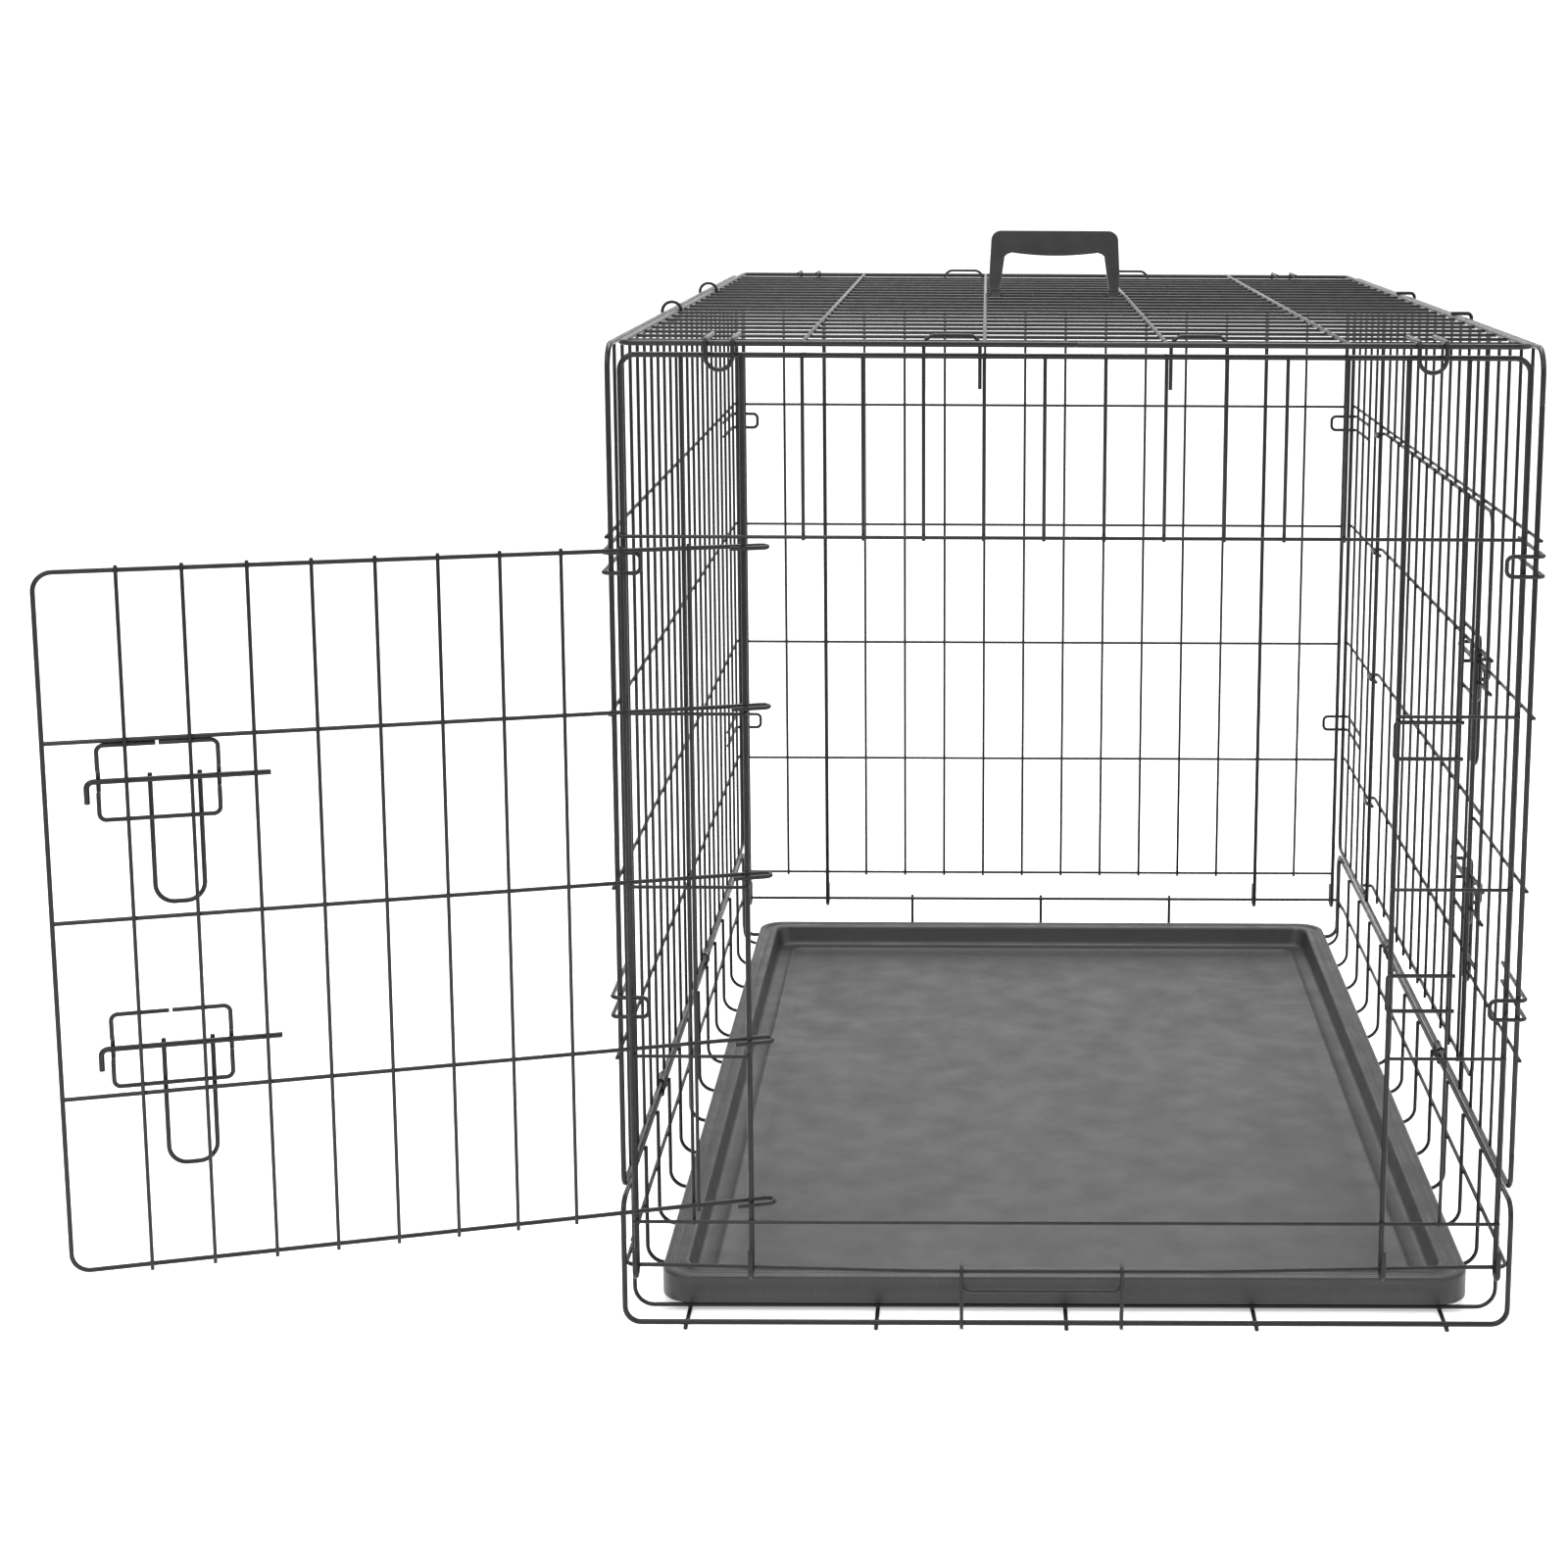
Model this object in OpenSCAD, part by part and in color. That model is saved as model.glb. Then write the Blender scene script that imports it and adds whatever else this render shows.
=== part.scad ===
// Folding wire dog crate with a front door, a side door and a floor tray.
// +Z up, the front door end faces -Y, origin on the floor under the middle.

/* [Mesh] */
// Spacing of the upright wires
pitch = 47; // [46.5:0.25:47.5]
// Height of one row of the panels
row_h = 141.5; // [141:0.25:142]
// Height of the end panels' bottom rail above the floor
sill_z = 88; // [87:0.5:89]

/* [Wire sizes] */
// Radius of the frame wires
frame_r = 2.25; // [2.2:0.05:2.3]
// Radius of the upright and cross wires
mesh_r = 1.5; // [1.45:0.05:1.5]
// Radius of the door frames and the floor cross wires
door_r = 1.85; // [1.8:0.05:1.85]
// Radius of the guard wire, clips and door rails
light_r = 1.75; // [1.7:0.05:1.75]
// How deep two welded wires sink into each other
weld = 0.4; // [0.3:0.1:0.5]

/* [Doors] */
// How far the front door stands open
front_open = 163.65; // [0:0.05:165]
// Distance from a door's hinge axis to the plane of its frame
door_off = 8; // [7.9:0.05:8.1]

/* [Tray] */
// Half of the tray's width
tray_hx = 337; // [330:1:340]
// Half of the tray's length
tray_hy = 517; // [510:1:518]
// Height of the tray's rim above its underside
tray_h = 24; // [22:0.5:24]

/* [Handle] */
// Height of the carry handle above the wire it clips round
handle_h = 66; // [60:1:70]
// Front to back thickness of its grip
handle_t = 12; // [11:0.5:12]

/* [Hidden] */
$fn = 32;

end_hw = 7.5 * pitch;              // half width of an end panel, on its posts
side_hl = 11.5 * pitch;            // half length of a side panel, on its posts
top_z = sill_z + 5 * row_h;        // end panels' top wire
head_z = sill_z + 4 * row_h;       // rail over the doorways
side_x = 361.3;                     // plane of the side panels
end_y = 534;                       // plane of the end panels
side_z0 = 119;                     // side panels' bottom wire
side_z1 = 803;                     // side panels' top wire
thin_off = frame_r - mesh_r;       // uprights stand this far outside the frame wire
rail_off = frame_r + mesh_r - weld;  // rails lie on the outside of the uprights

loop_x = 1.5 * pitch + 3.5;        // inner legs of the top loops, clear of the long wires

lid_hx = 351.5;
lid_hy = 541;
lid_z = 805;
cross_z = lid_z - 1.5;             // lid's cross wires
edge_top_z = lid_z + frame_r + light_r - weld;     // wires that lie on its edge
cross_n = 21;
cross_step = 2 * lid_hy / (cross_n + 1);
handle_y = -lid_hy + 14 * cross_step;   // the cross wire that the carry handle turns on
handle_foot_x = 60;

base_y = 547.7;                    // base bows
base_z = 5.6;
hinge_z = 109;                     // rails that the side panels turn on
runner_z = light_r;
floor_x = side_x - frame_r - light_r + weld;   // upright ends of the floor cross wires
floor_z = 3 * light_r - 0.1;
floor_step = 85.5;
tray_z = base_z + frame_r + 0.1;

guard_y = 541;                     // guard wire round the tray
guard_x = floor_x + 2 * light_r - 0.3;
guard_z = 56;                      // along the sides
guard_front_z = 50;                // lower at the front
guard_rear_z = 54;                 // where the rear panel hooks on
hook_r = 7;                        // half the width of a hook round the guard wire
hook_up = 18;                      // how far its end stands above the guard wire

jamb_x = 5.5 * pitch;              // front doorway's posts
side_jamb_y = 6.5 * pitch;         // side doorway's posts

hinge_gap = 42.5;                  // hinge axis to a door's hinge side wire
door_lap = 9.5;                    // how far a door reaches past the far post
front_door_w = 2 * jamb_x + door_lap;
side_door_w = 2 * side_jamb_y + door_lap;
front_door_zs = [103, 241, 379, 517, 645];
side_door_zs = [133, 235, 376, 517, 645];
front_bolt_zs = [276.5, 485];
side_bolt_zs = [295, 500];
eye_end = 19.5;                    // a hinge eye reaches this far past the post
eye_tail = 12;                     // and its tail this far back
eye_off = 4.3;                     // tail's distance from the hinge axis
bar_off = door_off - door_r - mesh_r + weld;        // door uprights
guide_off = bar_off + mesh_r + light_r - weld;      // latch guides
bolt_off = door_off + door_r + frame_r + 0.25;      // latch bolts
bow_off = bolt_off + frame_r + light_r + 0.35;      // where a guide bows round a bolt
guide_far = 38;                    // guide's outer leg to the door's free edge
guide_w = 87;
guide_h = 57;
clip_zs = [273, 634];              // corner clips of the side panels
clip_h = 8;                        // half height of a clip
clip_y = 540.5 + frame_r + light_r - weld;
clip_x = side_x + rail_off + mesh_r + light_r - weld;
left_ring_ys = [-141, 188];
right_hook_ys = [-188, 141];
left_sleeve_ys = [-282, 101.5];
right_sleeve_ys = [-188, 141];
stop_xs = [-86, 45];
stop_r = 1.5;
stop_eye = frame_r + stop_r + 0.1;
stop_top = guard_front_z + light_r + stop_r + 0.35;

BLACK = [0.06, 0.06, 0.065];
TRAY = [0.25, 0.25, 0.26];
HANDLE = [0.12, 0.12, 0.125];

// ---- wires ----

function unit(v) = v / norm(v);
function pick(b, i) = is_list(b) ? b[i] : b;
function corner(p, i) =
    acos(max(-1, min(1, unit(p[i] - p[i - 1]) * unit(p[i + 1] - p[i]))));
function cut(p, b, i) =
    i == 0 || i == len(p) - 1 ? 0 : pick(b, i) * tan(corner(p, i) / 2);

// A straight wire from a to b
module rod(a, b, r) {
    d = b - a;
    translate(a)
        rotate([0, acos(d.z / norm(d)), d.x == 0 && d.y == 0 ? 0 : atan2(d.y, d.x)])
            cylinder(r = r, h = norm(d));
}

// A wire bent along the points p, with a bend of radius b at each point between
module wire(p, r, b) {
    for (i = [0 : len(p) - 2]) {
        u = unit(p[i + 1] - p[i]);
        rod(p[i] + u * cut(p, b, i), p[i + 1] - u * cut(p, b, i + 1), r);
    }
    for (i = [1 : len(p) - 2]) bend(p[i - 1], p[i], p[i + 1], r, pick(b, i));
}

// The bend at point q between a wire from a and a wire to c
module bend(a, q, c, r, b) {
    u = unit(q - a);
    v = unit(c - q);
    turn = acos(max(-1, min(1, u * v)));
    inward = unit(v - u * (u * v));
    centre = q - u * (b * tan(turn / 2)) + inward * b;
    w = cross(-inward, u);
    multmatrix([
        [-inward.x, u.x, w.x, centre.x],
        [-inward.y, u.y, w.y, centre.y],
        [-inward.z, u.z, w.z, centre.z],
        [0, 0, 0, 1]])
        rotate_extrude(angle = turn) translate([b, 0]) circle(r = r);
}

// ---- places: each panel is drawn in x and z, with its outside towards -y ----

module at_front() translate([0, -end_y, 0]) children();
module at_rear() rotate([0, 0, 180]) translate([0, -end_y, 0]) children();
module at_right() rotate([0, 0, 90]) translate([0, -side_x, 0]) children();
module at_left() rotate([0, 0, -90]) translate([0, -side_x, 0]) children();
module both_sides() for (m = [0, 1]) mirror([m, 0, 0]) children();
module both_ends() for (m = [0, 1]) mirror([0, m, 0]) children();

module upright(x, z0, z1) rod([x, -thin_off, z0], [x, -thin_off, z1], mesh_r);
module rail(x0, x1, z) rod([x0, -rail_off, z], [x1, -rail_off, z], mesh_r);

// ---- base ----

module base_bow() {
    wire([[-side_x, -500, hinge_z], [-side_x, -base_y, hinge_z], [-side_x, -base_y, base_z],
          [side_x, -base_y, base_z], [side_x, -base_y, hinge_z], [side_x, -500, hinge_z]],
         frame_r, 13);
}

module base_front_bow() color(BLACK) base_bow();
module base_rear_bow() color(BLACK) mirror([0, 1, 0]) base_bow();

module base_hinge_rails() color(BLACK)
    both_sides() rod([side_x, -500, hinge_z], [side_x, 500, hinge_z], frame_r);

module floor_runners() color(BLACK)
    for (i = [-2 : 2]) rod([156 * i, -base_y - 3.5, runner_z], [156 * i, base_y + 3.5, runner_z], light_r);

module floor_cross_wires() color(BLACK)
    for (i = [-6 : 6])
        translate([0, i * floor_step, 0])
            wire([[-floor_x, 0, hinge_z + 1.5], [-floor_x, 0, floor_z],
                  [floor_x, 0, floor_z], [floor_x, 0, hinge_z + 1.5]], light_r, 16);

module rear_guard_posts() color(BLACK)
    for (i = [-1 : 1])
        rod([156 * i, base_y - frame_r - light_r + weld, 4],
            [156 * i, base_y - frame_r - light_r + weld, guard_rear_z + 3.5], light_r);

module guard_wire_front() color(BLACK)
    wire([[-guard_x, -500, guard_front_z], [-guard_x, -guard_y, guard_front_z],
          [guard_x, -guard_y, guard_front_z], [guard_x, -500, guard_front_z]], light_r, 8);

module guard_wire_rear() color(BLACK)
    wire([[-guard_x, 500, guard_rear_z], [-guard_x, guard_y, guard_rear_z],
          [guard_x, guard_y, guard_rear_z], [guard_x, 500, guard_rear_z]], light_r, 8);

module guard_wire_sides() color(BLACK)
    both_sides() rod([guard_x, -500, guard_z], [guard_x, 500, guard_z], light_r);

// Crimped sleeves that join each side panel's bottom wire to its hinge rail
module hinge_sleeves() color(BLACK) {
    for (y = left_sleeve_ys) sleeve(-side_x, y);
    for (y = right_sleeve_ys) sleeve(side_x, y);
}

module sleeve(x, y)
    translate([x, y + 11, 0]) rotate([90, 0, 0]) linear_extrude(height = 22)
        difference() {
            two_wires(frame_r + 1.5);
            two_wires(frame_r + 0.05);
        }

module two_wires(r) {
    translate([0, hinge_z]) circle(r = r);
    translate([0, side_z0]) circle(r = r);
    translate([-r, hinge_z]) square([2 * r, side_z0 - hinge_z]);
}

// ---- side panels ----

module side_clips()
    for (s = [-1, 1], z = clip_zs)
        wire([[s * (side_hl - 2 * pitch - 6), side_x - clip_x, z + clip_h],
              [s * clip_y, side_x - clip_x, z + clip_h],
              [s * clip_y, side_x - 338, z + clip_h], [s * clip_y, side_x - 338, z - clip_h],
              [s * clip_y, side_x - clip_x, z - clip_h],
              [s * (side_hl - 2 * pitch - 6), side_x - clip_x, z - clip_h]], light_r, 5);

module left_panel_frame() color(BLACK) at_left()
    wire([[0, 0, side_z0], [side_hl, 0, side_z0], [side_hl, 0, side_z1], [-side_hl, 0, side_z1],
          [-side_hl, 0, side_z0], [0, 0, side_z0]], frame_r, [0, 12, 20, 20, 12, 0]);

module left_panel_mesh() color(BLACK) at_left() {
    for (i = [1 : 22]) upright(-side_hl + i * pitch, side_z0, side_z1);
    for (k = [1 : 4]) rail(-side_hl - 2, side_hl + 2, sill_z + k * row_h);
}

module left_panel_clips() color(BLACK) at_left() side_clips();

module right_panel_top_wire() color(BLACK) at_right()
    wire([[-side_hl, 0, 760], [-side_hl, 0, side_z1], [side_hl, 0, side_z1], [side_hl, 0, 760]],
         frame_r, 20);

module right_panel_bottom_wire() color(BLACK) at_right()
    wire([[-side_hl, 0, 150], [-side_hl, 0, side_z0], [side_hl, 0, side_z0], [side_hl, 0, 150]],
         frame_r, 12);

module right_panel_posts() color(BLACK) at_right() {
    for (s = [-1, 1]) {
        rod([s * side_hl, 0, 150], [s * side_hl, 0, 760], frame_r);
        rod([s * side_jamb_y, 0, side_z0], [s * side_jamb_y, 0, side_z1], frame_r);
    }
}

module right_panel_header() color(BLACK) at_right() {
    for (i = [6 : 17]) upright(-side_hl + i * pitch, head_z - 3, side_z1);
    rail(-side_hl - 2, side_hl + 2, head_z);
}

module right_strip(i0, i1, x0, x1) {
    for (i = [i0 : i1]) upright(-side_hl + i * pitch, side_z0, side_z1);
    for (k = [1 : 3]) rail(x0, x1, sill_z + k * row_h);
}

module right_panel_front_mesh() color(BLACK) at_right()
    right_strip(1, 4, -side_hl - 2, -side_jamb_y + 2);
module right_panel_rear_mesh() color(BLACK) at_right()
    right_strip(19, 22, side_jamb_y - 2, side_hl + 2);
module right_panel_clips() color(BLACK) at_right() side_clips();

// Staples on the strip beside a door, for its bolts
module receivers(x, way, zs)
    for (z = zs)
        wire([[x + way * (pitch + 5), -frame_r - light_r + weld, z + 23],
              [x - way * 2.5, -frame_r - light_r + weld, z + 23],
              [x - way * 2.5, -frame_r - light_r + weld, z - 6.5],
              [x + way * (pitch + 5), -frame_r - light_r + weld, z - 6.5]], light_r, 3);

module side_door_receivers() color(BLACK) at_right() receivers(-side_jamb_y, -1, side_bolt_zs);
module front_door_receivers() color(BLACK) at_front() receivers(jamb_x, 1, front_bolt_zs);

// ---- end panels ----

// The part of a post that hooks round the guard wire, listed from its tip
function hook(x, z) = [[x, -2 * hook_r, z + hook_up], [x, -2 * hook_r, z - hook_r], [x, 0, z - hook_r]];
function flip(p) = [for (i = [len(p) - 1 : -1 : 0]) p[i]];

module end_frame(z)
    wire(concat(hook(-end_hw, z), [[-end_hw, 0, top_z], [end_hw, 0, top_z]], flip(hook(end_hw, z))),
         frame_r, [0, hook_r - 0.1, hook_r - 0.1, 12, 12, hook_r - 0.1, hook_r - 0.1, 0]);

module hook_posts(z)
    for (x = [-jamb_x, jamb_x])
        wire(concat(hook(x, z), [[x, 0, top_z]]), frame_r, hook_r - 0.1);

// The two loops that stand up inside the top panel's edge
module top_loops()
    for (s = [-1, 1])
        wire([[s * 2.5 * pitch, rail_off, top_z - 26], [s * 2.5 * pitch, rail_off, top_z + 15.5],
              [s * loop_x, rail_off, top_z + 15.5], [s * loop_x, rail_off, top_z - 26]],
             mesh_r, 9);

module front_panel_frame() color(BLACK) at_front() end_frame(guard_front_z);
module front_door_posts() color(BLACK) at_front() hook_posts(guard_front_z);

module front_panel_header() color(BLACK) at_front() {
    for (i = [3 : 12]) upright(-end_hw + i * pitch, head_z - 3, top_z);
    rail(-end_hw - 2, end_hw + 2, head_z);
}

module front_strip(s) {
    upright(s * (end_hw - pitch), sill_z - 3, top_z);
    for (k = [1 : 3]) rail(s * (end_hw + 2), s * (jamb_x - 2), sill_z + k * row_h);
}

module front_panel_left_mesh() color(BLACK) at_front() front_strip(-1);
module front_panel_right_mesh() color(BLACK) at_front() front_strip(1);
module front_panel_sill() color(BLACK) at_front() rail(-end_hw - 2, end_hw + 2, sill_z);
module front_panel_loops() color(BLACK) at_front() top_loops();

module rear_panel_frame() color(BLACK) at_rear() end_frame(guard_rear_z);
module rear_panel_hook_posts() color(BLACK) at_rear() hook_posts(guard_rear_z);

module rear_panel_mesh() color(BLACK) at_rear() {
    for (i = [1 : 14]) if (i != 2 && i != 13) upright(-end_hw + i * pitch, sill_z - 3, top_z);
    for (k = [0 : 4]) rail(-end_hw - 2, end_hw + 2, sill_z + k * row_h);
}

module rear_panel_loops() color(BLACK) at_rear() top_loops();

// ---- top panel ----

module top_panel_frame() color(BLACK)
    wire([[0, -lid_hy, lid_z], [lid_hx, -lid_hy, lid_z], [lid_hx, lid_hy, lid_z],
          [-lid_hx, lid_hy, lid_z], [-lid_hx, -lid_hy, lid_z], [0, -lid_hy, lid_z]], frame_r, 12);

module top_panel_cross_wires() color(BLACK)
    for (i = [1 : cross_n])
        rod([-lid_hx, -lid_hy + i * cross_step, cross_z], [lid_hx, -lid_hy + i * cross_step, cross_z], mesh_r);

module top_panel_long_wires() color(BLACK)
    for (i = [-1.5 : 1 : 1.5])
        rod([i * 2 * lid_hx / 5, -lid_hy, cross_z + 2 * mesh_r - weld],
            [i * 2 * lid_hx / 5, lid_hy, cross_z + 2 * mesh_r - weld], mesh_r);

// Clips that hang over the front and rear edges
module top_panel_clips() color(BLACK)
    both_sides() both_ends()
        wire([[264, -485, edge_top_z], [264, -547.5, edge_top_z], [264, -547.5, 785],
              [285, -547.5, 785], [285, -547.5, edge_top_z], [285, -485, edge_top_z]],
             light_r, [0, 3, 10.4, 10.4, 3, 0]);

// Closed rings round the left panel's top wire and the top panel's edge
module top_panel_rings() color(BLACK)
    for (y = left_ring_ys)
        translate([-(side_x + lid_hx) / 2 - 0.5, y, (side_z1 + lid_z) / 2]) rotate([90, 0, 0])
            rotate_extrude() translate([8.9, 0]) circle(r = mesh_r);

// Hooks on the right edge that drop over the right panel's top wire
module top_panel_hooks() color(BLACK)
    for (y = right_hook_ys)
        wire([[lid_hx - 3, y, edge_top_z], [side_x + 5.8, y, edge_top_z], [side_x + 5.8, y, 797]],
             light_r, 4);

// Plastic carry handle: a flat grip whose two feet snap round a cross wire
module carry_handle() color(HANDLE) translate([0, handle_y, cross_z])
    difference() {
        union() {
            rotate([90, 0, 0]) linear_extrude(height = handle_t, center = true) handle_side();
            for (x = [-handle_foot_x, handle_foot_x])
                translate([x, 0, 0]) {
                    translate([0, 0, 4]) cube([10, 8, 9], center = true);
                    rotate([0, 90, 0]) cylinder(r = 4, h = 10, center = true);
                }
        }
        rotate([0, 90, 0]) cylinder(r = mesh_r + 0.06, h = 200, center = true);
    }

// Outline of the grip and legs, which lean in a little towards the top
module handle_side()
    difference() {
        offset(r = 10) offset(delta = -10)
            polygon([[-67.5, 5], [-64.5, handle_h], [64.5, handle_h], [67.5, 5]]);
        polygon([[-55, 4], [-50, handle_h - 21], [-25, handle_h - 24], [0, handle_h - 25],
                 [25, handle_h - 24], [50, handle_h - 21], [55, 4]]);
    }

// ---- doors: drawn shut, hinge axis on z, reaching to +x, with the outside towards -y ----

module in_front_door() translate([-jamb_x, -end_y, 0]) rotate([0, 0, -front_open]) children();
module in_side_door() translate([side_x, side_jamb_y, 0]) rotate([0, 0, 90]) mirror([1, 0, 0]) children();

// A rail whose end bends round the hinge post, listed from its tail
function eye(z) = [[eye_tail, eye_off, z], [-eye_end, eye_off, z], [-eye_end, -door_off, z]];
eye_b = (eye_off + door_off) / 2 - 0.05;

module door_frame(w, zs) {
    top = zs[len(zs) - 1];
    wire(concat(eye(top), [[w, -door_off, top], [w, -door_off, zs[0]]], flip(eye(zs[0]))),
         door_r, [0, eye_b, eye_b, 14, 14, eye_b, eye_b, 0]);
}

module door_mesh(w, zs, n) {
    top = zs[len(zs) - 1];
    for (i = [1 : len(zs) - 2])
        wire(concat(eye(zs[i]), [[w, -door_off, zs[i]]]), light_r, eye_b);
    rod([hinge_gap, -bar_off, zs[0] - 4], [hinge_gap, -bar_off, top + 4], mesh_r);
    for (i = [0 : n - 1])
        rod([door_bar_x(w, n, i), -bar_off, zs[0] - 4], [door_bar_x(w, n, i), -bar_off, top + 4], mesh_r);
}

// Door uprights are evenly spaced between two wider end bays
function door_bar_x(w, n, i) = hinge_gap + 52.5 + i * (w - hinge_gap - 111) / (n - 1);

module door_guides(w, zs) {
    x1 = w - guide_far;
    x0 = x1 - guide_w;
    for (z = zs) {
        for (s = [-1, 1])
            rod([x0 + 6, -guide_off, z + s * guide_h / 2], [x1 - 6, -guide_off, z + s * guide_h / 2], light_r);
        guide_leg(x0, x0 + 6, z);
        guide_leg(x1, x1 - 6, z);
    }
}

// One side of a latch guide, bowed outwards where the bolt runs through
module guide_leg(x, x_in, z)
    wire([[x_in, -guide_off, z + guide_h / 2], [x, -guide_off, z + guide_h / 2], [x, -guide_off, z + 9],
          [x, -bow_off, z + 9], [x, -bow_off, z - 9], [x, -guide_off, z - 9],
          [x, -guide_off, z - guide_h / 2], [x_in, -guide_off, z - guide_h / 2]],
         light_r, [0, 5, 2.6, 2.6, 2.6, 2.6, 5, 0]);

// A bolt drawn back: a rod with a turned end, and a thumb loop hanging from it
module door_bolt(w, z) {
    tip = w - 29.5;
    loop_x = w - 111;
    wire([[tip - 133.5, -bolt_off, z], [tip, -bolt_off, z], [tip, -bolt_off, z - 17]], frame_r, 5);
    wire([[loop_x, -bolt_off - frame_r - door_r + weld, z + 4], [loop_x, -bolt_off - frame_r - door_r + weld, z - 97],
          [loop_x + 36, -bolt_off - frame_r - door_r + weld, z - 97],
          [loop_x + 36, -bolt_off - frame_r - door_r + weld, z + 4]], door_r, 14);
}

module front_door_frame() color(BLACK) in_front_door() door_frame(front_door_w, front_door_zs);
module front_door_mesh() color(BLACK) in_front_door() door_mesh(front_door_w, front_door_zs, 9);
module front_door_latch_guides() color(BLACK) in_front_door() door_guides(front_door_w, front_bolt_zs);
module front_door_lower_bolt() color(BLACK) in_front_door() door_bolt(front_door_w, front_bolt_zs[0]);
module front_door_upper_bolt() color(BLACK) in_front_door() door_bolt(front_door_w, front_bolt_zs[1]);
module side_door_frame() color(BLACK) in_side_door() door_frame(side_door_w, side_door_zs);
module side_door_mesh() color(BLACK) in_side_door() door_mesh(side_door_w, side_door_zs, 11);
module side_door_latch_guides() color(BLACK) in_side_door() door_guides(side_door_w, side_bolt_zs);
module side_door_lower_bolt() color(BLACK) in_side_door() door_bolt(side_door_w, side_bolt_zs[0]);
module side_door_upper_bolt() color(BLACK) in_side_door() door_bolt(side_door_w, side_bolt_zs[1]);

// ---- tray ----

module round_rect(hx, hy, r) {
    square([2 * hx, 2 * (hy - r)], center = true);
    square([2 * (hx - r), 2 * hy], center = true);
    for (x = [-1, 1], y = [-1, 1]) translate([x * (hx - r), y * (hy - r)]) circle(r = r);
}

// A slab of the tray, in by d from its outline, from height z0 to z1 above its underside
module slab(d, z0, z1, r)
    translate([0, 0, z0]) linear_extrude(height = z1 - z0) round_rect(tray_hx - d, tray_hy - d, r);

module floor_tray() color(TRAY) translate([0, 0, tray_z])
    difference() {
        slab(0, 0, tray_h, 26);
        slab(22, tray_h - 3, tray_h + 1, 18);
        slab(26, 3, tray_h + 1, 16);
        translate([0, 0, -1]) difference() {
            slab(3, 0, tray_h - 2, 23);
            slab(19, -1, tray_h, 18);
        }
    }

module tray_stop() color(BLACK) {
    for (x = stop_xs)
        wire([[x, -base_y + stop_eye, 14], [x, -base_y + stop_eye, base_z - stop_eye],
              [x, -base_y - stop_eye, base_z - stop_eye], [x, -base_y - stop_eye, stop_top],
              [x, -guard_y + 2, stop_top]], stop_r, [0, stop_eye - 0.05, stop_eye - 0.05, 4, 0]);
    wire([[stop_xs[0], -base_y - 1.2, 47], [stop_xs[0], -base_y - 1.2, 33.6],
          [stop_xs[1], -base_y - 1.2, 33.6], [stop_xs[1], -base_y - 1.2, 47]], stop_r, 8);
}

// ---- output ----

base_front_bow();
base_rear_bow();
base_hinge_rails();
floor_runners();
floor_cross_wires();
rear_guard_posts();
guard_wire_front();
guard_wire_rear();
guard_wire_sides();
hinge_sleeves();
left_panel_frame();
left_panel_mesh();
left_panel_clips();
right_panel_top_wire();
right_panel_bottom_wire();
right_panel_posts();
right_panel_header();
right_panel_front_mesh();
right_panel_rear_mesh();
right_panel_clips();
side_door_receivers();
front_panel_frame();
front_door_posts();
front_panel_header();
front_panel_left_mesh();
front_panel_right_mesh();
front_panel_sill();
front_panel_loops();
front_door_receivers();
rear_panel_frame();
rear_panel_hook_posts();
rear_panel_mesh();
rear_panel_loops();
top_panel_frame();
top_panel_cross_wires();
top_panel_long_wires();
top_panel_clips();
top_panel_rings();
top_panel_hooks();
carry_handle();
front_door_frame();
front_door_mesh();
front_door_latch_guides();
front_door_upper_bolt();
front_door_lower_bolt();
side_door_frame();
side_door_mesh();
side_door_latch_guides();
side_door_upper_bolt();
side_door_lower_bolt();
floor_tray();
tray_stop();
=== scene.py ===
"""Folding wire dog crate: smooth bent wires, weld nuggets, a moulded floor tray, soft studio light."""
import math

import bmesh
import bpy
from mathutils import Matrix, Vector


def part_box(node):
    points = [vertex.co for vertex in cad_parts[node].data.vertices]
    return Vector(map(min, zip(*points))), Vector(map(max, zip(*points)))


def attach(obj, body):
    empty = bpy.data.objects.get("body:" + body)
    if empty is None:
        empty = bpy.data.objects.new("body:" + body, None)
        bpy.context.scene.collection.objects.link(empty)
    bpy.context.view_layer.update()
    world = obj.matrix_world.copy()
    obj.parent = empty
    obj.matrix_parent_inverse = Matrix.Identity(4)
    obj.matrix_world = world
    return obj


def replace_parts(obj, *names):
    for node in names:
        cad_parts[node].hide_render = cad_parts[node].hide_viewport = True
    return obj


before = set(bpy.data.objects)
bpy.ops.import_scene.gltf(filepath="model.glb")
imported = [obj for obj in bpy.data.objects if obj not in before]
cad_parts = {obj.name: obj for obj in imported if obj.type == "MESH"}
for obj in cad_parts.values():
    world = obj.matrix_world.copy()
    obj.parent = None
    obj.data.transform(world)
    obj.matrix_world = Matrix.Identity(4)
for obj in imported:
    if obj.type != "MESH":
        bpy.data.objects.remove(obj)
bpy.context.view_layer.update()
MM = 0.001

# ---- driving sizes in millimetres, from the frame where it gives them ----


def mm_box(node):
    """(lowest, highest) corner of a CAD node, in millimetres."""
    low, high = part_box(node)
    return Vector(low) / MM, Vector(high) / MM


def middle(node, axis):
    """The middle of a CAD node's box along one axis, in millimetres."""
    low, high = mm_box(node)
    return (low[axis] + high[axis]) / 2


FRAME_R = 2.25
MESH_R = 1.5
LIGHT_R = 1.75
DOOR_R = 1.85
WELD = 0.4

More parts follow.
